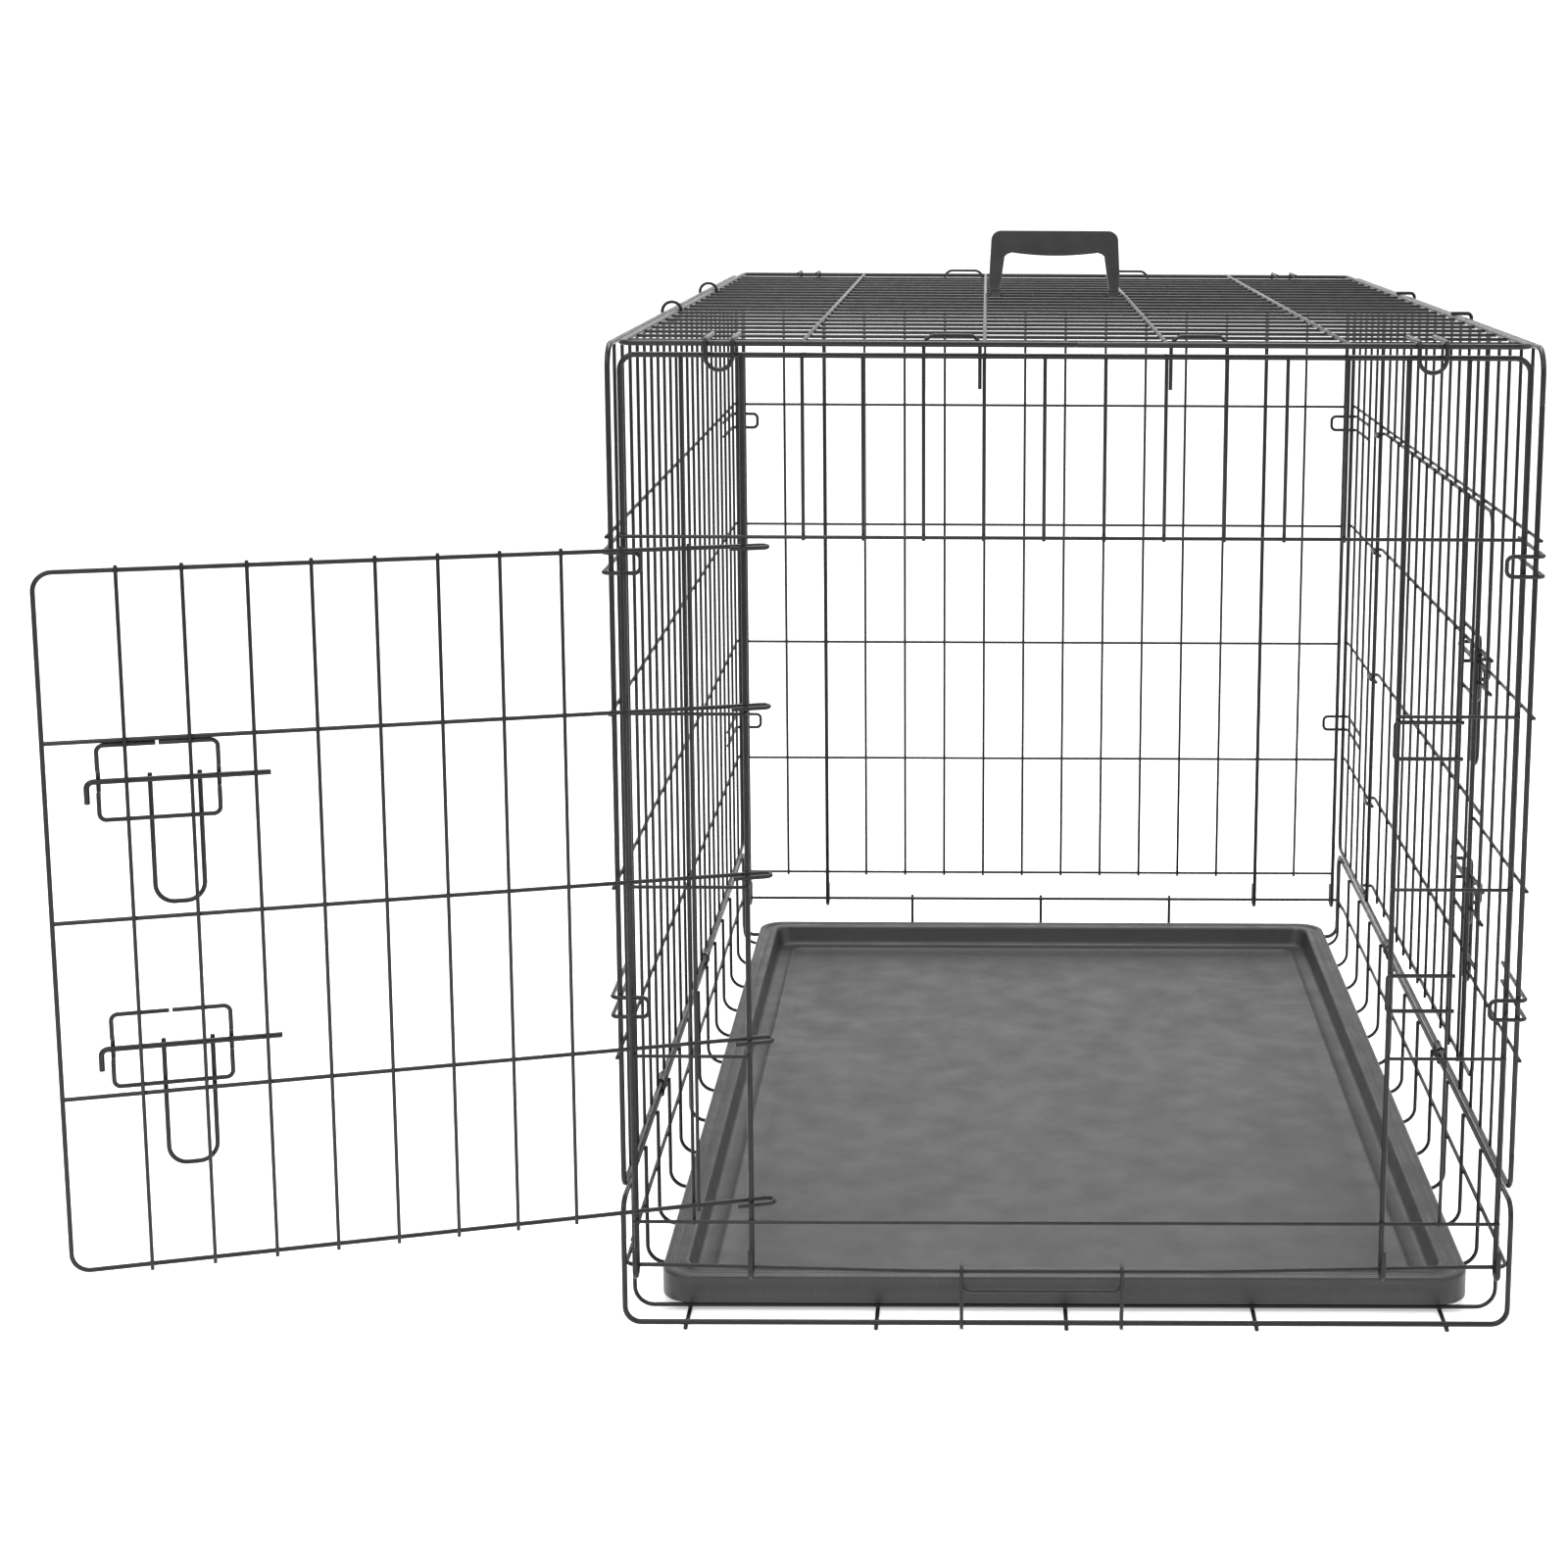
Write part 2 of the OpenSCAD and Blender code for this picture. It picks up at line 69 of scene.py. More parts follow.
END_HW = mm_box("front_panel_frame")[1].x - FRAME_R
PITCH = END_HW / 7.5
SIDE_HL = 11.5 * PITCH
TOP_Z = mm_box("front_panel_frame")[1].z - FRAME_R
SILL_Z = middle("front_panel_sill", 2)
ROW_H = (TOP_Z - SILL_Z) / 5
HEAD_Z = SILL_Z + 4 * ROW_H
SIDE_X = mm_box("base_hinge_rails")[1].x - FRAME_R
END_Y = -middle("front_panel_sill", 1) - (FRAME_R + MESH_R - WELD)
SIDE_Z0 = mm_box("left_panel_frame")[0].z + FRAME_R
SIDE_Z1 = mm_box("left_panel_frame")[1].z - FRAME_R
THIN_OFF = FRAME_R - MESH_R
RAIL_OFF = FRAME_R + MESH_R - WELD

LOOP_X = 1.5 * PITCH + 3.5
LID_HX = mm_box("top_panel_frame")[1].x - FRAME_R
LID_HY = mm_box("top_panel_frame")[1].y - FRAME_R
LID_Z = middle("top_panel_frame", 2)
CROSS_Z = LID_Z - 1.5
CROSS_N = 21

BASE_Y = mm_box("base_rear_bow")[1].y - FRAME_R
BASE_Z = mm_box("base_rear_bow")[0].z + FRAME_R
CORNER_Y = 500          # where the side wires of the base meet the bows and guards
BOW_BEND = 13
RUNNER_STEP = 156
RUNNER_END = 3.5        # past the bows
HINGE_Z = middle("base_hinge_rails", 2)
FLOOR_X = SIDE_X - FRAME_R - LIGHT_R + WELD
FLOOR_Z = 3 * LIGHT_R - 0.1
FLOOR_STEP = 85.5
FLOOR_BEND = 16
FLOOR_END_Z = HINGE_Z + 1.5

GUARD_Y = mm_box("guard_wire_rear")[1].y - LIGHT_R
GUARD_X = mm_box("guard_wire_sides")[1].x - LIGHT_R
GUARD_Z = middle("guard_wire_sides", 2)
GUARD_FRONT_Z = middle("guard_wire_front", 2)
GUARD_LEG_Z = GUARD_FRONT_Z + 3
GUARD_DIP = 2.4         # the front of the guard wire sags this far either way
GUARD_KINK_X = 335
GUARD_LOW_X = 120
GUARD_DIP_BENDS = (300, 1600, 1600, 300)
GUARD_BEND = 8
GUARD_REAR_Z = middle("guard_wire_rear", 2)
HOOK_R = 7
HOOK_UP = 18
HOOK_BEND = HOOK_R - 0.1
END_BEND = 12

RAIL_END = 2            # rails run this far past the wire that they end on
UPRIGHT_END = 3
SIDE_TOP_BEND = 20
SIDE_BASE_BEND = 12
POST_Z0 = 150           # where a side panel's corner posts begin and end
POST_Z1 = 760
LOOP_DOWN = 26          # the end panels' top loops, from the top wire
LOOP_UP = 15.5
LOOP_BEND = 9

JAMB_X = 5.5 * PITCH
SIDE_JAMB_Y = 6.5 * PITCH

FRONT_OPEN = 163.65
DOOR_OFF = 8
HINGE_GAP = 42.5
DOOR_LAP = 9.5
FRONT_DOOR_W = 2 * JAMB_X + DOOR_LAP
SIDE_DOOR_W = 2 * SIDE_JAMB_Y + DOOR_LAP
FRONT_DOOR_ZS = [103, 241, 379, 517, 645]
SIDE_DOOR_ZS = [133, 235, 376, 517, 645]
FRONT_BOLT_ZS = [276.5, 485]
SIDE_BOLT_ZS = [295, 500]
EYE_END = 19.5
EYE_TAIL = 12
EYE_OFF = 4.3
EYE_BEND = (EYE_OFF + DOOR_OFF) / 2 - 0.05
DOOR_BEND = 14
DOOR_BAR_END = 4        # door bars run this far past its frame
FIRST_BAR = 52.5        # from the hinge side wire
LAST_BAR = 58.5         # from the free edge
BAR_OFF = DOOR_OFF - DOOR_R - MESH_R + WELD
GUIDE_OFF = BAR_OFF + MESH_R + LIGHT_R - WELD
BOLT_OFF = DOOR_OFF + DOOR_R + FRAME_R + 0.25
BOW_OFF = BOLT_OFF + FRAME_R + LIGHT_R + 0.35
GUIDE_FAR = 38
GUIDE_W = 87
GUIDE_H = 57
GUIDE_BEND = 5
KINK_BEND = 2.6
KINK_HALF = 9
BOLT_TIP = 29.5         # from the free edge to the bolt's bent end
BOLT_LENGTH = 133.5
BOLT_TAB = 17
PULL_X = 111            # from the free edge to the thumb loop
PULL_W = 36
PULL_DOWN = 97
PULL_UP = 4
PULL_BEND = 14
CLIP_ZS = [273, 634]
CLIP_H = 8
CLIP_BEND = 5
CLIP_TIP_X = 338
CLIP_START = SIDE_HL - 2 * PITCH - 6
CLIP_Y = 540.5 + FRAME_R + LIGHT_R - WELD
CLIP_X = SIDE_X + RAIL_OFF + MESH_R + LIGHT_R - WELD
EDGE_CLIP_XS = (264, 285)
EDGE_CLIP_YS = (485, 547.5)
EDGE_CLIP_Z = 785
LID_HOOK_X = SIDE_X + 5.8
LID_HOOK_Z = 797
RING_R = 8.9
LEFT_RING_YS = [-141, 188]
RIGHT_HOOK_YS = [-188, 141]
LEFT_SLEEVE_YS = [-282, 101.5]
RIGHT_SLEEVE_YS = [-188, 141]
STOP_XS = [-86, 45]
STOP_EYE = FRAME_R + MESH_R + 0.1
STOP_TOP = mm_box("tray_stop")[1].z - MESH_R
STOP_TAIL_Z = 14
STOP_BAR_Z = (33.6, 47)

HANDLE_FOOT_X = 60
HANDLE_CORNER = 10
HANDLE_HOLLOW = 25      # from the top of the grip to its underside

# ---- materials ----


def new_material(name):
    """A node material, its node tree and its main shader."""
    mat = bpy.data.materials.new(name)
    mat.use_nodes = True
    tree = mat.node_tree
    shader = tree.nodes["Principled BSDF"]
    return mat, tree, shader


def noise(tree, scale, detail=4.0, stretch=(1, 1, 1)):
    """A noise texture in object space, stretched along the axes."""
    coords = tree.nodes.new("ShaderNodeTexCoord")
    mapping = tree.nodes.new("ShaderNodeMapping")
    mapping.inputs["Scale"].default_value = stretch
    texture = tree.nodes.new("ShaderNodeTexNoise")
    texture.inputs["Scale"].default_value = scale
    texture.inputs["Detail"].default_value = detail
    tree.links.new(coords.outputs["Object"], mapping.inputs["Vector"])
    tree.links.new(mapping.outputs["Vector"], texture.inputs["Vector"])
    return texture.outputs["Fac"]


def ramp(tree, source, low, high, at=(0.3, 0.7)):
    """Maps source from the stretch at to the values low to high, as numbers or colours."""
    node = tree.nodes.new("ShaderNodeValToRGB")
    for element, value, place in zip(node.color_ramp.elements, (low, high), at):
        element.position = place
        element.color = (*value, 1) if isinstance(value, tuple) else (value, value, value, 1)
    tree.links.new(source, node.inputs["Fac"])
    return node.outputs["Color"]


def bump(tree, shader, height, strength, distance, below=None):
    """Bumps the shader's surface by height, on top of the bump below if there is one."""
    node = tree.nodes.new("ShaderNodeBump")
    node.inputs["Strength"].default_value = strength
    node.inputs["Distance"].default_value = distance
    tree.links.new(height, node.inputs["Height"])
    if below:
        tree.links.new(below, node.inputs["Normal"])
    tree.links.new(node.outputs["Normal"], shader.inputs["Normal"])
    return node.outputs["Normal"]


def coated_wire():
    """Black electro-coat: satin, with a faint orange peel and dull patches."""
    mat, tree, shader = new_material("black_wire_coat")
    tint = ramp(tree, noise(tree, 60), (0.003, 0.003, 0.003), (0.008, 0.008, 0.009))
    tree.links.new(tint, shader.inputs["Base Color"])
    tree.links.new(ramp(tree, noise(tree, 140), 0.26, 0.44), shader.inputs["Roughness"])
    shader.inputs["Specular IOR Level"].default_value = 0.32
    bump(tree, shader, noise(tree, 1100, 2.0), 0.12, 0.0002)
    return mat


def weld_metal():
    """Weld nuggets: the same coat over a rough, scorched bead."""
    mat, tree, shader = new_material("weld_coat")
    tint = ramp(tree, noise(tree, 220), (0.008, 0.008, 0.008), (0.030, 0.028, 0.027))
    tree.links.new(tint, shader.inputs["Base Color"])
    tree.links.new(ramp(tree, noise(tree, 300), 0.40, 0.62), shader.inputs["Roughness"])
    bump(tree, shader, noise(tree, 1800, 3.0), 0.35, 0.0003)
    return mat


def tray_plastic():
    """Moulded charcoal plastic: fine grain, flow marks and light scuffs along the floor."""
    mat, tree, shader = new_material("tray_plastic_grain")
    flow = ramp(tree, noise(tree, 5, 3.0, (2.2, 0.7, 1)), (0.015, 0.015, 0.016), (0.019, 0.019, 0.020))
    scuffs = ramp(tree, noise(tree, 130, 5.0, (9, 0.35, 1)), 0.0, 1.0, (0.60, 0.74))
    mix = tree.nodes.new("ShaderNodeMix")
    mix.data_type = "RGBA"
    mix.inputs["B"].default_value = (0.032, 0.032, 0.033, 1)
    tree.links.new(flow, mix.inputs["A"])
    tree.links.new(scuffs, mix.inputs["Factor"])
    tree.links.new(mix.outputs["Result"], shader.inputs["Base Color"])
    tree.links.new(ramp(tree, noise(tree, 26), 0.36, 0.52), shader.inputs["Roughness"])
    grain = bump(tree, shader, noise(tree, 1500, 2.0), 0.22, 0.0003)
    bump(tree, shader, noise(tree, 3.2, 1.0), 0.25, 0.003, grain)
    return mat


def handle_plastic():
    """Moulded black plastic, satin, with a fine leathery grain."""
    mat, tree, shader = new_material("handle_plastic_grain")
    tint = ramp(tree, noise(tree, 40), (0.007, 0.007, 0.008), (0.014, 0.014, 0.015))
    tree.links.new(tint, shader.inputs["Base Color"])
    tree.links.new(ramp(tree, noise(tree, 90), 0.32, 0.46), shader.inputs["Roughness"])
    bump(tree, shader, noise(tree, 900, 3.0), 0.25, 0.0003)
    return mat


def plain_floor():
    """A white floor that glows a little, so that it stays white far from the lights."""
    mat, tree, shader = new_material("studio_floor")
    shader.inputs["Roughness"].default_value = 0.75
    tint = ramp(tree, noise(tree, 1.5), (0.86, 0.86, 0.86), (0.88, 0.88, 0.88))
    tree.links.new(tint, shader.inputs["Base Color"])
    shader.inputs["Emission Color"].default_value = (1, 1, 1, 1)
    shader.inputs["Emission Strength"].default_value = 0.42
    return mat


WIRE_MAT = coated_wire()
WELD_MAT = weld_metal()
TRAY_MAT = tray_plastic()
HANDLE_MAT = handle_plastic()

# ---- bent wires ----

SIDES = 16                      # round a wire
BEND_STEP = math.radians(9)     # longest turn between two rings of a bend
BEND_CHORD = 25                 # and longest distance, in millimetres
END_ROUND = ((0, 0.78), (0.10, 0.94), (0.28, 1))    # depth and radius at a wire's end, in radii


def bend_list(points, bend):
    """The bend radius at each inner point, from one number or from a list."""
    inner = len(points) - 2
    values = list(bend) if isinstance(bend, (list, tuple)) else [bend] * (inner + 2)
    return values[1:-1] if len(values) == inner + 2 else values


def centre_line(points, bend):
    """The wire's centre line: straight runs with an arc of radius bend at each point between."""
    line = [points[0]]
    runs = []
    start = points[0]
    for i, radius in enumerate(bend_list(points, bend), 1):
        u = (points[i] - points[i - 1]).normalized()
        v = (points[i + 1] - points[i]).normalized()
        turn = u.angle(v)
        tangent = radius * math.tan(turn / 2)
        a = points[i] - u * tangent
        inward = (v - u * u.dot(v)).normalized()
        centre = a + inward * radius
        runs.append((start, a))
        steps = max(3, math.ceil(turn / BEND_STEP), math.ceil(turn * radius / BEND_CHORD))
        for k in range(steps + 1):
            t = turn * k / steps
            line.append(centre - inward * (radius * math.cos(t)) + u * (radius * math.sin(t)))
        start = points[i] + v * tangent
    runs.append((start, points[-1]))
    line.append(points[-1])
    clean = [line[0]]
    for p in line[1:]:
        if (p - clean[-1]).length > 0.01:
            clean.append(p)
    return clean, runs


def add_tube(bm, line, r, closed=False):
    """Sweeps a circle of radius r along the line, with softly rounded ends."""
    n = len(line)
    tangents = []
    for i in range(n):
        if closed:
            tangents.append((line[(i + 1) % n] - line[i - 1]).normalized())
        else:
            tangents.append((line[min(i + 1, n - 1)] - line[max(i - 1, 0)]).normalized())
    normal = tangents[0].orthogonal().normalized()
    rings = []

    def ring(centre, side, up, radius):
        verts = []
        for k in range(SIDES):
            a = 2 * math.pi * k / SIDES
            verts.append(bm.verts.new((centre + (side * math.cos(a) + up * math.sin(a)) * radius) * MM))
        return verts

    for i in range(n):
        t = tangents[i]
        normal = (normal - t * normal.dot(t)).normalized()
        up = t.cross(normal)
        if i == 0 and not closed:
            for depth, share in END_ROUND:
                rings.append(ring(line[0] + t * r * depth, normal, up, r * share))
        elif i == n - 1 and not closed:
            for depth, share in reversed(END_ROUND):
                rings.append(ring(line[i] - t * r * depth, normal, up, r * share))
        else:
            rings.append(ring(line[i], normal, up, r))
    pairs = list(zip(rings, rings[1:]))
    if closed:
        pairs.append((rings[-1], rings[0]))
    for low, high in pairs:
        for k in range(SIDES):
            m = (k + 1) % SIDES
            bm.faces.new((low[k], low[m], high[m], high[k]))
    if not closed:
        bm.faces.new(list(reversed(rings[0])))
        bm.faces.new(rings[-1])


def finish_mesh(name, bm, body, material, smooth=50):
    """Turns a bmesh into a piece that rides on a body."""
    mesh = bpy.data.meshes.new(name)
    bmesh.ops.recalc_face_normals(bm, faces=bm.faces)
    bm.to_mesh(mesh)
    bm.free()
    mesh.materials.append(material)
    mesh.shade_smooth()
    mesh.set_sharp_from_angle(angle=math.radians(smooth))
    piece = bpy.data.objects.new(name, mesh)
    bpy.context.scene.collection.objects.link(piece)
    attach(piece, body)
    return piece


def wire(points, r, bend=1.0):
    """A wire of radius r through the points, with one bend radius or a list of them."""
    return {"points": [Vector(p) for p in points], "r": r, "bend": bend}


def rod(a, b, r):
    return wire([a, b], r)


def place_wires(wires, place):
    return [{"points": [place @ p for p in w["points"]], "r": w["r"], "bend": w["bend"]} for w in wires]


def nearest(p1, p2, q1, q2):
    """The closest points of two straight runs, and how far along each they lie, from 0 to 1."""
    d1, d2, w = p2 - p1, q2 - q1, p1 - q1
    a, b, c, d, e = d1.dot(d1), d1.dot(d2), d2.dot(d2), d1.dot(w), d2.dot(w)
    det = a * c - b * b
    if det < 0.05 * a * c:
        return None
    s, t = (b * e - c * d) / det, (a * e - b * d) / det
    return p1 + d1 * s, q1 + d2 * t, s, t


SHORT_RUN = 4       # runs shorter than this carry no weld
RUN_SLACK = 2       # and a weld may lie this far past a run's end


def weld_places(wires):
    """Where straight runs of the wires cross and touch: place, direction across, smaller radius."""
    runs = []
    for number, w in enumerate(wires):
        for a, b in centre_line(w["points"], w["bend"])[1]:
            if (b - a).length > SHORT_RUN:
                runs.append((a, b, w["r"], number))
    places = []
    for i, (a, b, r1, n1) in enumerate(runs):
        for c, d, r2, n2 in runs[i + 1:]:
            if n1 == n2:
                continue
            hit = nearest(a, b, c, d)
            if not hit:
                continue
            p, q, s, t = hit
            slack1, slack2 = RUN_SLACK / (b - a).length, RUN_SLACK / (d - c).length
            inside = -slack1 < s < 1 + slack1 and -slack2 < t < 1 + slack2
            gap = (q - p).length
            if inside and r1 + r2 - WELD - 0.35 < gap < r1 + r2 - 0.02:
                way = (q - p).normalized()
                places.append((p + way * (r1 - WELD / 2), way, min(r1, r2)))
    return places


def add_nugget(bm, place, way, r):
    """A flattened bead squeezed out of a weld."""
    turn = way.to_track_quat("Z", "Y").to_matrix().to_4x4()
    wide = 1.18 * r
    size = Matrix.Diagonal((wide * MM, wide * MM, 0.62 * r * MM, 1))
    matrix = Matrix.Translation(place * MM) @ turn @ size
    bmesh.ops.create_icosphere(bm, subdivisions=2, radius=1.0, matrix=matrix)


def build_group(group, body, place, nodes):
    """Builds each node's wires as a piece that replaces it, and the group's welds as one more."""
    everything = []
    for node, wires in nodes.items():
        placed = place_wires(wires, place)
        everything += placed
        bm = bmesh.new()
        for w in placed:
            add_tube(bm, centre_line(w["points"], w["bend"])[0], w["r"])
        piece = finish_mesh("wires_" + node, bm, body, WIRE_MAT)
        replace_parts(piece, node)
    places = weld_places(everything)
    if places:
        bm = bmesh.new()
        for at, way, r in places:
            add_nugget(bm, at, way, r)
        finish_mesh("welds_" + group, bm, body, WELD_MAT)


# ---- places: each panel is drawn in x and z, with its outside towards -y ----


def turn_z(degrees):
    return Matrix.Rotation(math.radians(degrees), 4, "Z")


WHOLE = Matrix.Identity(4)
AT_FRONT = Matrix.Translation((0, -END_Y, 0))
AT_REAR = turn_z(180) @ AT_FRONT
AT_RIGHT = turn_z(90) @ Matrix.Translation((0, -SIDE_X, 0))
AT_LEFT = turn_z(-90) @ Matrix.Translation((0, -SIDE_X, 0))
IN_FRONT_DOOR = Matrix.Translation((-JAMB_X, -END_Y, 0)) @ turn_z(-FRONT_OPEN)
IN_SIDE_DOOR = Matrix.Translation((SIDE_X, SIDE_JAMB_Y, 0)) @ turn_z(90) @ Matrix.Diagonal((-1, 1, 1, 1))


def mirrored(wires, axis):
    """The wires and their mirror images across the plane normal to axis."""
    result = list(wires)
    for w in wires:
        points = [p.copy() for p in w["points"]]
        for p in points:
            p[axis] = -p[axis]
        result.append({"points": points, "r": w["r"], "bend": w["bend"]})
    return result


def upright(x, z0, z1):
    return rod((x, -THIN_OFF, z0), (x, -THIN_OFF, z1), MESH_R)


def rail(x0, x1, z):
    return rod((x0, -RAIL_OFF, z), (x1, -RAIL_OFF, z), MESH_R)


# ---- base ----


def base_wires():
    """Both bows, the hinge rails, the wires of the floor and the guard wire round the tray."""
    bow = wire([(-SIDE_X, -CORNER_Y, HINGE_Z), (-SIDE_X, -BASE_Y, HINGE_Z), (-SIDE_X, -BASE_Y, BASE_Z),
                (SIDE_X, -BASE_Y, BASE_Z), (SIDE_X, -BASE_Y, HINGE_Z), (SIDE_X, -CORNER_Y, HINGE_Z)],
               FRAME_R, BOW_BEND)
    runner_y = BASE_Y + RUNNER_END
    runners = [rod((RUNNER_STEP * i, -runner_y, LIGHT_R), (RUNNER_STEP * i, runner_y, LIGHT_R), LIGHT_R)
               for i in range(-2, 3)]
    cross = [wire([(-FLOOR_X, y, FLOOR_END_Z), (-FLOOR_X, y, FLOOR_Z), (FLOOR_X, y, FLOOR_Z),
                   (FLOOR_X, y, FLOOR_END_Z)], LIGHT_R, FLOOR_BEND)
             for y in (i * FLOOR_STEP for i in range(-6, 7))]
    post_y = BASE_Y - FRAME_R - LIGHT_R + WELD
    post_top = GUARD_REAR_Z + 3.5
    posts = [rod((RUNNER_STEP * i, post_y, 4), (RUNNER_STEP * i, post_y, post_top), LIGHT_R)
             for i in (-1, 0, 1)]
    near_z, low_z = GUARD_FRONT_Z + GUARD_DIP, GUARD_FRONT_Z - GUARD_DIP
    dip = [(-GUARD_KINK_X, -GUARD_Y, near_z), (-GUARD_LOW_X, -GUARD_Y, low_z),
           (GUARD_LOW_X, -GUARD_Y, low_z), (GUARD_KINK_X, -GUARD_Y, near_z)]
    front_guard = wire([(-GUARD_X, -CORNER_Y, GUARD_LEG_Z), (-GUARD_X, -GUARD_Y, near_z)] + dip +
                       [(GUARD_X, -GUARD_Y, near_z), (GUARD_X, -CORNER_Y, GUARD_LEG_Z)],
                       LIGHT_R, [0, GUARD_BEND, *GUARD_DIP_BENDS, GUARD_BEND, 0])
    rear_guard = wire([(-GUARD_X, CORNER_Y, GUARD_REAR_Z), (-GUARD_X, GUARD_Y, GUARD_REAR_Z),
                       (GUARD_X, GUARD_Y, GUARD_REAR_Z), (GUARD_X, CORNER_Y, GUARD_REAR_Z)],
                      LIGHT_R, GUARD_BEND)
    hinge_rail = rod((SIDE_X, -CORNER_Y, HINGE_Z), (SIDE_X, CORNER_Y, HINGE_Z), FRAME_R)
    side_guard = rod((GUARD_X, -CORNER_Y, GUARD_Z), (GUARD_X, CORNER_Y, GUARD_Z), LIGHT_R)
    return {
        "base_front_bow": [bow],
        "base_rear_bow": [mirrored([bow], 1)[1]],
        "base_hinge_rails": mirrored([hinge_rail], 0),
        "floor_runners": runners,
        "floor_cross_wires": cross,
        "rear_guard_posts": posts,
        "guard_wire_front": [front_guard],
        "guard_wire_rear": [rear_guard],
        "guard_wire_sides": mirrored([side_guard], 0),
    }


# ---- side panels ----


def side_clips():
    """Corner clips: each lies along the panel, reaches round its end and comes back."""
    out = SIDE_X - CLIP_X
    tip = SIDE_X - CLIP_TIP_X
    reach = [(CLIP_START, out), (CLIP_Y, out), (CLIP_Y, tip)]
    clips = []
    for s in (-1, 1):
        for z in CLIP_ZS:
            out_way = [(s * x, y, z + CLIP_H) for x, y in reach]
            back_way = [(s * x, y, z - CLIP_H) for x, y in reach[::-1]]
            clips.append(wire(out_way + back_way, LIGHT_R, CLIP_BEND))
    return clips


def strip(first, last, x0, x1):
    """The side panel's mesh on one side of the doorway."""
    bars = [upright(-SIDE_HL + i * PITCH, SIDE_Z0, SIDE_Z1) for i in range(first, last + 1)]
    return bars + [rail(x0, x1, SILL_Z + k * ROW_H) for k in (1, 2, 3)]


def receivers(x, way, heights):
    """Staples on the strip beside a door, for its bolts."""
    out = -FRAME_R - LIGHT_R + WELD
    far, near = x + way * (PITCH + 5), x - way * 2.5
    up, down, bend = 23, 6.5, 3
    return [wire([(far, out, z + up), (near, out, z + up), (near, out, z - down), (far, out, z - down)],
                 LIGHT_R, bend) for z in heights]


def left_panel_wires():
    hl, z0, z1 = SIDE_HL, SIDE_Z0, SIDE_Z1
    frame_loop = wire([(0, 0, z0), (hl, 0, z0), (hl, 0, z1), (-hl, 0, z1), (-hl, 0, z0), (0, 0, z0)],
                      FRAME_R, [0, SIDE_BASE_BEND, SIDE_TOP_BEND, SIDE_TOP_BEND, SIDE_BASE_BEND, 0])
    mesh = [upright(-hl + i * PITCH, z0, z1) for i in range(1, 23)]
    mesh += [rail(-hl - RAIL_END, hl + RAIL_END, SILL_Z + k * ROW_H) for k in (1, 2, 3, 4)]
    return {"left_panel_frame": [frame_loop], "left_panel_mesh": mesh, "left_panel_clips": side_clips()}


def right_panel_wires():
    hl, z0, z1 = SIDE_HL, SIDE_Z0, SIDE_Z1
    posts = []
    for s in (-1, 1):
        posts.append(rod((s * hl, 0, POST_Z0), (s * hl, 0, POST_Z1), FRAME_R))
        posts.append(rod((s * SIDE_JAMB_Y, 0, z0), (s * SIDE_JAMB_Y, 0, z1), FRAME_R))
    header = [upright(-hl + i * PITCH, HEAD_Z - UPRIGHT_END, z1) for i in range(6, 18)]
    header.append(rail(-hl - RAIL_END, hl + RAIL_END, HEAD_Z))
    top = wire([(-hl, 0, POST_Z1), (-hl, 0, z1), (hl, 0, z1), (hl, 0, POST_Z1)], FRAME_R, SIDE_TOP_BEND)
    bottom = wire([(-hl, 0, POST_Z0), (-hl, 0, z0), (hl, 0, z0), (hl, 0, POST_Z0)], FRAME_R, SIDE_BASE_BEND)
    return {
        "right_panel_top_wire": [top],
        "right_panel_bottom_wire": [bottom],
        "right_panel_posts": posts,
        "right_panel_header": header,
        "right_panel_front_mesh": strip(1, 4, -hl - RAIL_END, -SIDE_JAMB_Y + RAIL_END),
        "right_panel_rear_mesh": strip(19, 22, SIDE_JAMB_Y - RAIL_END, hl + RAIL_END),
        "right_panel_clips": side_clips(),
        "side_door_receivers": receivers(-SIDE_JAMB_Y, -1, SIDE_BOLT_ZS),
    }


# ---- end panels ----


def hook(x, z):
    """The part of a post that hooks round the guard wire, listed from its tip."""
    return [(x, -2 * HOOK_R, z + HOOK_UP), (x, -2 * HOOK_R, z - HOOK_R), (x, 0, z - HOOK_R)]


def end_frame(z):
    """An end panel's inverted U, whose ends hook round the guard wire at height z."""
    points = hook(-END_HW, z) + [(-END_HW, 0, TOP_Z), (END_HW, 0, TOP_Z)] + hook(END_HW, z)[::-1]
    return wire(points, FRAME_R, [0, HOOK_BEND, HOOK_BEND, END_BEND, END_BEND, HOOK_BEND, HOOK_BEND, 0])


def hook_posts(z):
    return [wire(hook(x, z) + [(x, 0, TOP_Z)], FRAME_R, HOOK_BEND) for x in (-JAMB_X, JAMB_X)]


def top_loops():
    """The two loops that stand up inside the top panel's edge."""
    low, high = TOP_Z - LOOP_DOWN, TOP_Z + LOOP_UP
    return [wire([(s * 2.5 * PITCH, RAIL_OFF, low), (s * 2.5 * PITCH, RAIL_OFF, high),
                  (s * LOOP_X, RAIL_OFF, high), (s * LOOP_X, RAIL_OFF, low)], MESH_R, LOOP_BEND)
            for s in (-1, 1)]


def end_rail(z):
    return rail(-END_HW - RAIL_END, END_HW + RAIL_END, z)


def front_strip(s):
    """The front panel's mesh on one side of the doorway: s is -1 for left, 1 for right."""
    rails = [rail(s * (END_HW + RAIL_END), s * (JAMB_X - RAIL_END), SILL_Z + k * ROW_H) for k in (1, 2, 3)]
    return [upright(s * (END_HW - PITCH), SILL_Z - UPRIGHT_END, TOP_Z)] + rails


